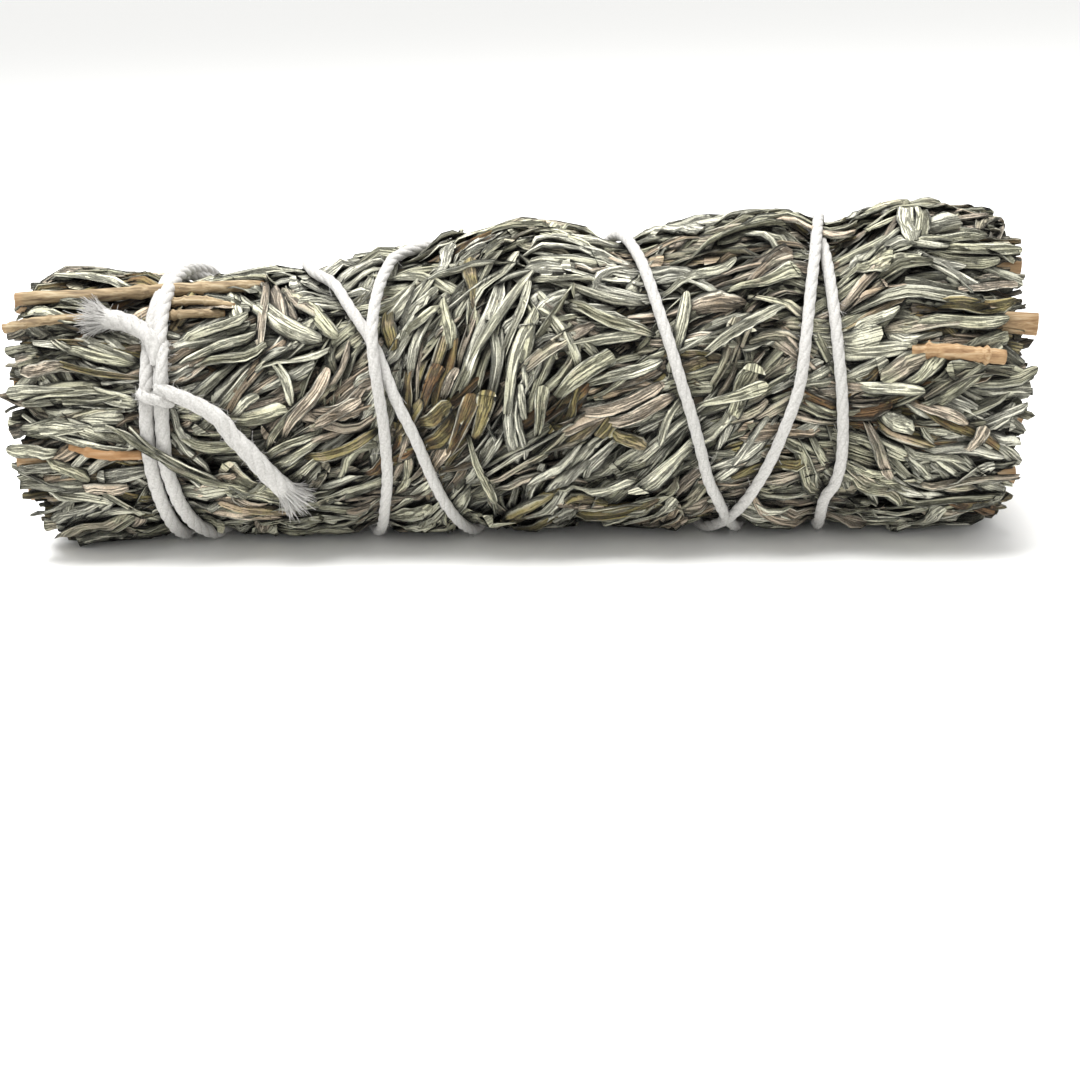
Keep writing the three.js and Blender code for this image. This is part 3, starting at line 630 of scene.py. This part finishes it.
def clumpLeaves(rng):  # sprig number, leaf
    made = []
    for row in range(leafField["alongCount"]):
        for column in range(leafField["roundCount"]):
            x = mix(*leafField["reach"], (row + rng.uniform()) / leafField["alongCount"])
            scatter = rng.uniform(-1, 1) * leafField["turnScatter"]
            turn = (column + 0.5 * (row % 2) + scatter) / leafField["roundCount"] * 2 * math.pi
            lean = leanAt(x, turn) + rng.normal(0, leafField["clumpScatter"])
            reversedShare = leafField["reversedLeft" if x < leafField["leftUpTo"] else "reversedShare"]
            lean += math.pi if rng.uniform() < reversedShare else 0
            level = rng.uniform(*leafField["clumpHeights"])
            tone, light = drawTone(rng), rng.uniform(*leafField["clumpLights"])
            spacing = rng.uniform(*leafField["spacing"])
            radius = float(along(bundle["radii"], x))
            for number in range(leafField["perClump"]):
                side = number - (leafField["perClump"] - 1) / 2
                shift = rng.uniform(-1, 1) * leafField["shiftAlong"]
                leafX = x - side * spacing * math.sin(lean) + shift * math.cos(lean)
                leafTurn = turn + (side * spacing * math.cos(lean) + shift * math.sin(lean)) / radius
                toothed = rng.uniform() < leafField["toothedShare"]
                gap = inGap(leafX, leafTurn)
                height = level + rng.uniform(-1, 1) * leafField["leafHeights"] - gap * gaps["sink"]
                widen = leafField["toothedWiden"] if toothed else 1
                leaf = oneLeaf(
                    rng, x=leafX, turn=leafTurn, kind=kinds.index(
                        "cut" if leafX < leafField["bluntUpTo"] else "toothed" if toothed else "strap"),
                    halfWidth=rng.uniform(*leafField["halfWidths"]) * widen,
                    lean=lean + side * leafField["fan"] + rng.normal(0, leafField["leanScatter"] / 2),
                    height=min(max(height, leafField["lowest"]), leafField["highest"]),
                    tone=min(max(tone + rng.normal(0, leafField["toneScatter"]), 0), 1),
                    # painted shade: leaves in a gap are darkened
                    light=light * rng.uniform(*leafField["lightScatter"]) * mix(1, gaps["light"], gap))
                made.append((sprigAt(x, turn, bundle["outerSprigs"]), leaf))
    return made


finishTones = {  # tone and lightness
    "pale": (0.15, 0.95), "sage": (0.32, 0.92), "tan": (0.52, 0.95), "olive": (0.8, 0.9), "brown": (0.92, 0.9),
}

# The leaves that lie on top: root and tip as place and turn in degrees, half width, finish, and a kind for
# those that are not straps
shownLeaves = {
    "leftEnd": [
        [-41, 78, -50, 82, 1.2, "pale", "cut"], [-48, 40, -39.5, 31, 0.7, "sage"],
        [-46, 43, -39, 33, 0.6, "pale"], [-52, 33, -39, 24, 0.45, "olive", "narrow"],
        [-45, 22, -38.7, 15, 0.8, "pale"], [-44, 22, -52, 19, 0.9, "pale", "toothed"],
        [-43, 6, -49, 5, 0.8, "pale", "toothed"], [-48.5, -6, -54, -3, 0.8, "pale"],
        [-50, -8, -45, -17, 0.9, "sage"], [-49, 52, -45, 50, 0.6, "sage"], [-47, -22, -41, -20, 0.8, "tan"],
        [-45, 30, -51, 27, 0.8, "tan"],
    ],
    "behindKnot": [
        [-36, 39, -27.5, 54, 0.7, "pale"], [-35, 33, -26.5, 45, 0.75, "pale"],
        [-33.5, 31, -25, 36, 0.7, "sage"], [-29.5, 10, -26, 18, 0.6, "pale"],
        [-29, 66, -19.8, 33, 1.1, "pale"], [-24.5, 68, -17.5, 36, 0.9, "sage"],
        [-24.7, 36, -22.3, 12, 0.6, "pale"], [-23.8, -1, -18.3, 25, 0.8, "tan"],
        [-22, -12, -13.5, -1, 0.8, "olive"], [-21, 2, -15, 12, 0.7, "tan"],
    ],
    "middle": [
        [-12.5, 52, -11.7, 30, 0.9, "olive"], [-11, 42, -7, 52, 0.7, "pale"],
        [-11, 34, -6.7, 44, 0.6, "sage"], [-6.7, 52, -5.8, 27, 1, "sage"],
        [-3, 38, -3.8, 63, 1, "olive", "toothed"], [-4.6, 17, 3, 53, 0.65, "pale"],
        [-6.8, 9, -4.8, 20, 0.55, "tan"], [-9, 6, -7, 22, 1, "brown", "toothed"],
        [-9.5, 0, -5.5, 8, 1, "olive"], [-6.5, -14, -3.3, 9, 1, "brown", "toothed"],
        [-3.5, -9, -1.5, 10, 1.1, "olive", "toothed"], [-4, -6, -1.5, -34, 0.55, "sage"],
        [3, -9, 4, 10, 0.75, "sage", "toothed"], [2, -3, 1.5, 12, 0.45, "pale"],
        [-0.2, 19, 3, 48, 0.6, "pale"],
    ],
    "rightHalf": [
        [3, 52, 14.5, 43, 0.6, "pale"], [5, 43, 15.5, 31, 0.75, "sage"], [0.7, 32, 7.5, 30, 0.55, "pale"],
        [-0.3, 12, 9.3, 34, 0.7, "tan"], [5, 8, 11, 25, 0.9, "sage", "cut"],
        [8.5, 13, 16.2, 22, 0.7, "pale"], [6.7, 0, 16.5, 12, 0.8, "tan"], [9, -2, 17.5, 8, 0.8, "tan"],
        [10.4, -3, 14.4, -9, 0.85, "olive"], [16.7, 8, 18.8, 46, 0.75, "pale"],
        [15, -12, 18, 9, 0.5, "pale"], [16, 48, 24, 56, 0.7, "pale"], [19.6, 21, 28.5, 36, 0.7, "pale"],
        [18.8, 3, 26, 10, 0.8, "sage", "toothed"], [6.5, -31, 13.5, -23, 0.65, "pale"],
    ],
    "rightEnd": [
        [42.5, 88, 41.5, 57, 1.1, "pale"], [44, 86, 43, 58, 0.8, "sage"],
        [35, 55, 39.5, 52, 1.4, "sage", "toothed"], [35, 39, 48.5, 36, 0.7, "pale"],
        [35, 31, 40, 34, 0.7, "pale"], [35, 11, 42.3, 5, 0.7, "pale"], [36.8, -3, 39.8, -26, 0.65, "tan"],
        [38, -1, 41.3, -9, 1, "pale"], [40.5, 7, 43.9, 16, 1, "sage", "toothed"],
        [41.3, 2, 47, -4, 0.7, "tan"], [39.8, -15, 47, -21, 0.6, "pale"],
        [46.5, -17, 48.7, -7, 0.8, "tan", "toothed"], [43, 58, 49.5, 62, 0.65, "sage"],
        [42, 28, 52, 30, 0.9, "sage"], [43, 33, 52.5, 34, 0.9, "olive"],
    ],
    "overString": [
        [-42, 10, -28, -25, 0.5, "pale"], [-41.5, 7, -34, -11, 0.45, "sage"],
        [-38.5, -3, -28, -23, 0.45, "sage"], [-40, 6, -31, -19, 0.4, "pale"],
    ],
    "overValley": [
        [28, 78, 37, 76, 0.7, "tan"], [27, 84, 37.5, 82, 0.8, "sage"], [28.5, 90, 38.5, 88, 0.9, "pale"],
        [27.5, 97, 38, 96, 0.9, "sage"],
    ],
}
shownLie = {
    "heights": (0.1, 0.4), "over": {"overString": 1.2, "overValley": 0.45}, "overEnds": 0, "rise": 0.1,
    "tilt": 0.14, "sway": 0.12, "curl": 0.3, "twist": 0.3, "toneScatter": 0.06,
}


def topLeaves(rng):  # sprig number, leaf
    made = []
    for region, rows in shownLeaves.items():
        over = shownLie["over"].get(region)
        for rootX, rootTurn, tipX, tipTurn, halfWidth, finish, *kind in rows:
            x, turn = (rootX + tipX) / 2, (rootTurn + tipTurn) / 2 * degree
            up = (tipTurn - rootTurn) * degree * float(along(bundle["radii"], x))
            height = rng.uniform(*shownLie["heights"])
            tone, light = finishTones[finish]
            leaf = oneLeaf(
                rng, x=x, turn=turn, length=math.hypot(tipX - rootX, up), lean=math.atan2(up, tipX - rootX),
                halfWidth=halfWidth, kind=kinds.index(*kind or ["strap"]), height=height,
                tipHeight=height + shownLie["rise"],
                tilt=rng.normal(0, shownLie["tilt"]), sway=rng.normal(0, shownLie["sway"]),
                curl=rng.normal(0, shownLie["curl"]), twist=rng.normal(0, shownLie["twist"]),
                tone=tone + rng.uniform(0, shownLie["toneScatter"]), light=light)
            if over:
                ends = shownLie["overEnds"]
                leaf.update(height=over, rootHeight=ends, tipHeight=ends, pressed=0)
            made.append((sprigAt(x, turn, bundle["outerSprigs"]), leaf))
    return made


cutEnds = {
    "spacing": 1.05, "length": (4.5, 7.5), "halfWidths": (0.3, 0.85), "ragged": 3.4, "edge": 1.0,
    "tipShares": {-1: 0.08, 1: 0.45},  # how many are tips and not cut, at the left and the right
    "firstRing": 0.3, "ringScatter": 0.3, "leanScatter": 0.2, "tipScatter": 0.15, "tilt": 0.8, "curl": 0.3,
    "edgeRoll": (-1.1, 1.1), "tones": (0.35, 0.98), "lights": (0.75, 1.1),
}


def cutEndLeaves(rng, end):  # short lengths of packed leaf that show where the bundle is cut
    made = []
    radius = float(along(bundle["radii"], end * bundle["end"])) - cutEnds["edge"]
    rings = int(radius / cutEnds["spacing"])
    for ring in range(rings + 1):
        reach = ring * cutEnds["spacing"] + cutEnds["firstRing"]
        for spot in range(max(int(2 * math.pi * reach / cutEnds["spacing"]), 3)):
            scatter = rng.uniform(-1, 1) * leafField["turnScatter"]
            turn = (spot + scatter) * cutEnds["spacing"] / reach
            length = rng.uniform(*cutEnds["length"])
            outermost = bundle["end"] - rng.uniform(0, 1) * cutEnds["ragged"]
            kind = rng.choice(["toothed", "strap"]) if rng.uniform() < cutEnds["tipShares"][end] else "cut"
            height = reach + rng.uniform(-1, 1) * cutEnds["ringScatter"] - radius - cutEnds["edge"]
            leaf = oneLeaf(
                rng, x=end * (outermost - length / 2), turn=turn, length=length, kind=kinds.index(kind),
                lean=(math.pi if end < 0 else 0) + rng.normal(0, cutEnds["leanScatter"]),
                height=height, rootHeight=height, tipHeight=height + rng.normal(0, cutEnds["tipScatter"]),
                halfWidth=rng.uniform(*cutEnds["halfWidths"]), tilt=rng.normal(0, cutEnds["tilt"]),
                curl=rng.normal(0, cutEnds["curl"]), sway=0, edgeRoll=rng.uniform(*cutEnds["edgeRoll"]), arch=0,
                endsAt=outermost, tone=rng.uniform(*cutEnds["tones"]), light=rng.uniform(*cutEnds["lights"]))
            inner = reach < bundle["innerReach"]
            count = bundle["innerSprigs"] if inner else bundle["outerSprigs"]
            first = bundle["outerSprigs"] if inner else 0
            made.append((first + sprigAt(end * bundle["end"], turn, count), leaf))
    return made


litter = {
    "depth": 2.7, "roughness": 0.5, "end": 50.5, "ripples": [(23, 1.7), (7, 0.9)],  # round it, along it
    "apart": 0.3, "traits": [0.5, 1, 0.5, 1],
}
litterRod = Template("litterRod", 24, 30)


def litterSpots(low, high, inner, outer):  # a wedge between two edges, its cross-section laid round the rod
    corner, s, half = litterRod.corner, litterRod.s, litterRod.segments // 2
    x = mix(-litter["end"], litter["end"], s)
    share = (corner % half) / (half - 1)
    turn = mix(low(x), high(x), share)
    upper = corner < half
    radius = along(bundle["radii"], x)
    rough = litter["roughness"]
    for timesRound, timesAlong in litter["ripples"]:
        rough = rough * np.sin(turn * timesRound + x * timesAlong)
    reach = np.where(upper, (outer if outer else radius - litter["depth"]) + rough, inner)
    turn = np.where(upper, turn, mix(high(x), low(x), share))
    return place(x, turn, reach - radius)


rng = np.random.default_rng(41)
sprigLeaves = {number: [] for number in range(len(sprigNames))}
for number, leaf in clumpLeaves(rng) + topLeaves(rng):
    sprigLeaves[number].append((fineLeaf, leaf))
for end in (-1, 1):
    for number, leaf in cutEndLeaves(rng, end):
        sprigLeaves[number].append((plainLeaf, leaf))
print("leaves drawn:", sum(map(len, sprigLeaves.values())))


def sprigEdges(number):
    if number < bundle["outerSprigs"]:
        return (lambda x: edgeTurn(number, x)), (lambda x: edgeTurn(number + 1, x)), bundle["innerReach"], None
    inner = number - bundle["outerSprigs"]
    low = ((inner - 0.5) / bundle["innerSprigs"] - 0.25) * 2 * math.pi
    step = 2 * math.pi / bundle["innerSprigs"]
    apart = litter["apart"]
    return (lambda x: low + 0 * x), (lambda x: low + step + 0 * x), apart, bundle["innerReach"] - apart


for number, name in enumerate(sprigNames):
    batches = []
    for template in (fineLeaf, plainLeaf):
        leaves = [leaf for kind, leaf in sprigLeaves[number] if kind is template]
        if leaves:
            batches.append((template, shapeLeaves(template, leaves), traitColours(template, leaves)))
    edges = litterSpots(*sprigEdges(number))
    batches.append((litterRod, edges[None], np.tile(litter["traits"], (litterRod.count, 1))))
    piece = buildPiece(name + "_leaf_clumps", batches, [leafMaterial, leafMaterial])
    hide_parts(name + "_leaves")
    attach(piece, "root")
    triangles = sum(len(face.vertices) - 2 for face in piece.data.polygons)
    print(name, "leaves:", len(sprigLeaves[number]), "triangles:", triangles)


# Stems: the hidden ones run where the solids' stems do, and twigs lie among the outer leaves
stems = {
    "radius": 1.15, "hiddenDepth": 4.7, "innerReach": 4.6, "reach": 57, "ends": (52.6, 54.6),
    "shownDepths": [4.7, 4.7, 4, 1.1], "left": [2, 4], "right": [3], "step": 3,
    "orange": 0.03, "orangeEnd": 0.35,  # how orange the bark is, and at a cut end
    "rings": 25, "uneven": 0.05, "knots": 3, "knotSwell": 1.22, "twigStep": 0.5, "lights": (0.75, 1),
    "upright": (0, 0.3, 1),  # a direction that no twig runs in
    "twigs": [  # sprig, radius, lightness, share of orange, and route as place, turn in degrees and height
        [4, 0.7, 0.9, 0.03, [[-53, 62, -0.3], [-46, 65, 0.1], [-40, 69, 0.1], [-35, 72, 0.1], [-30, 75, 0],
                             [-27, 79, -0.8]]],
        [4, 0.48, 1.1, 0, [[-37, 64, -0.4], [-33, 64, 0.1], [-29.5, 63, -0.8]]],
        [4, 0.5, 0.85, 0.03, [[-36.5, 56, -0.4], [-33.5, 56, 0.1], [-30.5, 59, -0.8]]],
        [3, 0.5, 0.9, 0.03, [[-53.5, 46, -0.3], [-50, 49, 0.1], [-46, 52, 0.1], [-43, 54, -0.6]]],
        [2, 0.5, 0.85, 0.6, [[-46.5, -2, -0.4], [-43, -5, 0.3], [-39, -6, -0.2]]],
        [3, 0.78, 1.05, 0.3, [[41.3, 19, -0.8], [45, 18, 0.1], [50.3, 17, 0.1]]],
    ],
}


def stemRoute(number):
    steps = 3
    shown = (number in stems["left"], number in stems["right"])
    if any(shown):
        steps = 2 * (len(stems["shownDepths"]) - 1)
    rows = []
    for i in range(steps + 1):
        x = stems["reach"] * (2 * i / steps - 1)
        low, high, _, _ = sprigEdges(number)
        turn = float(low(x) + high(x)) / 2 / degree
        depth = stems["shownDepths"][abs(i - steps // 2)] if shown[0 if x < 0 else 1] else stems["hiddenDepth"]
        if number >= bundle["outerSprigs"]:
            depth = float(along(bundle["radii"], x)) - stems["innerReach"]
        rows.append([x, turn, -depth])
    return rows


def shapeRod(template, rows, radii):  # a twig's points round its middle line
    middle = place(rows[:, 0], rows[:, 1] * degree, rows[:, 2])
    run = np.linspace(0, 1, len(rows))
    spots = np.stack([np.interp(template.s, run, middle[:, k]) for k in range(3)], axis=1)
    heading = np.gradient(middle, axis=0)
    heading /= np.linalg.norm(heading, axis=1, keepdims=True)
    heading = np.stack([np.interp(template.s, run, heading[:, k]) for k in range(3)], axis=1)
    side = np.cross(heading, stems["upright"])
    side /= np.linalg.norm(side, axis=1, keepdims=True)
    over = np.cross(heading, side)
    angle = template.corner * 2 * math.pi / template.segments
    radius = np.interp(template.s, np.linspace(0, 1, len(radii)), radii)[:, None]
    return spots + radius * (np.cos(angle)[:, None] * side + np.sin(angle)[:, None] * over)


def knobbly(rng, radius):  # a twig's radius along it, with knots where leaves grew
    radii = radius * (1 + rng.normal(0, stems["uneven"], stems["rings"]))
    radii[rng.integers(2, stems["rings"] - 3, stems["knots"])] *= stems["knotSwell"]
    return radii


def buildStem(number, name):
    own = np.random.default_rng(700 + number)
    route = curveThrough(stemRoute(number), stems["step"])
    low, high = (mix(*stems["ends"], draw(stemDraw(number), end + 2)) for end in (-1, 1))
    route = route[(route[:, 0] > -low) & (route[:, 0] < high)]
    route[0, 0], route[-1, 0] = -low, high
    spots = [shapeRod(twigTube, route, knobbly(own, stems["radius"]))]
    looks = [(own.uniform(*stems["lights"]), stems["orange"])]  # lightness, share of orange
    for sprig, radius, light, orange, twig in stems["twigs"]:
        if sprig == number:
            spots.append(shapeRod(twigTube, curveThrough(twig, stems["twigStep"]), knobbly(own, radius)))
            looks.append((light, orange))
    cutEnd = ((twigTube.s == 0) | (twigTube.s == 1))[:, None] * stems["orangeEnd"]
    traits = np.concatenate([
        np.hstack([np.maximum(cutEnd, orange), np.tile([light, own.uniform(), 1], (twigTube.count, 1))])
        for light, orange in looks])
    piece = buildPiece(name + "_twigs", [(twigTube, np.stack(spots), traits)], [barkMaterial, pithMaterial])
    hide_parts(name + "_stem")
    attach(piece, "root")


def stemDraw(number):
    if number < bundle["outerSprigs"]:
        return number + bundle["outerSprigs"] * 3
    return number - bundle["outerSprigs"] + bundle["innerSprigs"] * 3


for number, name in enumerate(sprigNames):
    buildStem(number, name)
print("stems made")

# String: plies twisted round each middle line, as a cord maker lays them
fuzz = {
    "count": 1650, "tailCount": 220, "length": (0.4, 1.1), "thickness": 0.018,
    "rootDepth": 0.15, "outward": 0.35, "sideways": 0.6, "across": 0.8, "bend": 0.35, "bendScatter": 0.5,
    "aboveTable": 0.05, "points": 4,
    "tuft": 360, "tuftLength": (1.6, 3.2), "tuftWidth": 1.0, "tuftRoot": 1, "tuftBack": 0.8, "tuftWander": 0.16,
    "tuftOpening": 1.3, "tuftPoints": 6,
    "strand": 0.06, "strandThickness": (0.6, 1.4), "strandTaper": 0.35,
}


def framesAlong(spots):  # side vectors that follow a path without spinning
    heading = np.gradient(spots, axis=0)
    heading /= np.linalg.norm(heading, axis=1, keepdims=True)
    side = np.cross(heading[0], (0, 0, 1))
    side /= np.linalg.norm(side)
    sides = []
    for direction in heading:
        side = side - direction * side.dot(direction)
        side /= np.linalg.norm(side)
        sides.append(side)
    sides = np.array(sides)
    return heading, sides, np.cross(heading, sides)


def addStrand(curve, spots, thickness=1.0, taper=None):
    strand = curve.splines.new("POLY")
    strand.points.add(len(spots) - 1)
    rows = np.hstack([spots * mm, np.ones((len(spots), 1))])
    strand.points.foreach_set("co", rows.ravel())
    widths = np.full(len(spots), thickness) if taper is None else thickness * taper
    strand.points.foreach_set("radius", widths)


def pliesAlong(curve, spots, radii):
    _, sides, overs = framesAlong(spots)
    run = np.concatenate([[0], np.cumsum(np.linalg.norm(np.diff(spots, axis=0), axis=1))])
    offset = (radii * (1 - string["plyShare"]))[:, None]
    for ply in range(string["plies"]):
        angle = (run / string["twistLength"] + ply / string["plies"]) * 2 * math.pi
        lay = spots + offset * (np.cos(angle)[:, None] * sides + np.sin(angle)[:, None] * overs)
        addStrand(curve, lay, string["plyShare"], radii)


def newCurve(name, radius, resolution):
    curve = bpy.data.curves.new(name, "CURVE")
    curve.dimensions = "3D"
    curve.bevel_depth = radius * mm
    curve.bevel_resolution = resolution
    curve.use_fill_caps = True
    return curve


def curvePiece(name, curves, material):  # curves made one mesh
    bm = bmesh.new()
    for curve in curves:
        holder = bpy.data.objects.new(curve.name, curve)
        bm.from_mesh(bpy.data.meshes.new_from_object(holder))
        bpy.data.objects.remove(holder)
    piece = pieceFrom(bm, name, [material])
    piece.data.shade_smooth()
    return piece


def fuzzOn(curve, rng, spots, radii, count):  # loose fibres that stand off the string
    heading, sides, overs = framesAlong(spots)
    for _ in range(count):
        at = rng.integers(1, len(spots) - 1)
        angle = rng.uniform(0, 2 * math.pi)
        out = math.cos(angle) * sides[at] + math.sin(angle) * overs[at]
        length = rng.uniform(*fuzz["length"])
        start = spots[at] + out * (radii[at] - fuzz["rootDepth"])
        lean = heading[at] * rng.normal(0, 1) + np.cross(out, heading[at]) * rng.normal(0, fuzz["across"])
        bend = rng.normal(0, fuzz["bendScatter"], 3)
        share = np.linspace(0, 1, fuzz["points"])[:, None]
        strand = start + length * (share * (fuzz["outward"] * out + fuzz["sideways"] * lean)
                                   + share ** 2 * fuzz["bend"] * bend)
        strand[:, 2] = np.maximum(strand[:, 2], fuzz["aboveTable"])
        addStrand(curve, strand)


def tuftAt(curve, rng, spots):  # where a tail comes apart into its fibres
    heading, sides, overs = framesAlong(spots)
    for _ in range(fuzz["tuft"]):
        angle, spread = rng.uniform(0, 2 * math.pi), rng.uniform(0, 1) ** 0.5
        out = math.cos(angle) * sides[-1] + math.sin(angle) * overs[-1]
        length = rng.uniform(*fuzz["tuftLength"])
        share = np.linspace(0, 1, fuzz["tuftPoints"])[:, None]
        start = spots[-1] - heading[-1] * fuzz["tuftBack"] + out * spread * fuzz["tuftRoot"]
        wander = rng.normal(0, fuzz["tuftWander"], 3)
        opening = out * spread * fuzz["tuftWidth"] * share ** fuzz["tuftOpening"]
        strand = start + heading[-1] * length * share + opening + wander * length * share ** 2
        taper = np.linspace(1, fuzz["strandTaper"], fuzz["tuftPoints"])
        addStrand(curve, strand, rng.uniform(*fuzz["strandThickness"]), taper)


stringRng = np.random.default_rng(12)
windingRadii = along(string["radii"], windingPath[:, 0])
plies = newCurve("plies", 1, 2)
hairs = newCurve("hairs", fuzz["thickness"], 0)
pliesAlong(plies, windingPath, windingRadii)
fuzzOn(hairs, stringRng, windingPath, windingRadii, fuzz["count"])
ropes = [(path, np.linspace(*string["tailRadii"], len(path))) for path in tailPaths]
ropes += [(path, np.full(len(path), string["loopRadius"])) for path in loopPaths]
for path, radii in ropes:
    pliesAlong(plies, path, radii)
    fuzzOn(hairs, stringRng, path, radii, fuzz["tailCount"])
tufts = newCurve("tufts", fuzz["strand"], 0)
for path in tailPaths:
    tuftAt(tufts, stringRng, path)
stringPiece = curvePiece("twisted_cotton_string", [plies, hairs, tufts], cottonMaterial)
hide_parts("cotton_string")
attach(stringPiece, "root")
print("string made:", len(stringPiece.data.polygons), "faces")

# Studio: a pale table, a soft light from above and a bright room
studio = {"tableSize": 12.0, "table": "#F4F4F2", "room": 1.0, "keySize": 0.3, "keyPower": 5.0,
          "keyPlace": (-0.08, -0.02, 0.5), "keyAim": (0, 0, 0.015)}


def softLight(name, size, power, spot):
    data = bpy.data.lights.new(name, "AREA")
    data.size = size
    data.energy = power
    lamp = bpy.data.objects.new(name, data)
    lamp.location = spot
    lamp.rotation_euler = (Vector(studio["keyAim"]) - Vector(spot)).to_track_quat("-Z", "Y").to_euler()
    bpy.context.scene.collection.objects.link(lamp)


def addStudio():
    bm = bmesh.new()
    bmesh.ops.create_grid(bm, x_segments=1, y_segments=1, size=studio["tableSize"])
    material, tree, shader = newMaterial("paintedTable")  # matt white paint
    shader.inputs["Base Color"].default_value = hexColour(studio["table"])
    shader.inputs["Roughness"].default_value = 0.9
    shader.inputs["Specular IOR Level"].default_value = 0.1
    table = pieceFrom(bm, "paleTable", [material])
    softLight("keyLight", studio["keySize"], studio["keyPower"], studio["keyPlace"])
    world = bpy.data.worlds.new("brightRoom")
    world.use_nodes = True
    world.node_tree.nodes["Background"].inputs["Color"].default_value = (1, 1, 1, 1)
    world.node_tree.nodes["Background"].inputs["Strength"].default_value = studio["room"]
    bpy.context.scene.world = world
    bpy.context.scene.view_settings.view_transform = "Standard"


addStudio()
bpy.context.view_layer.update()
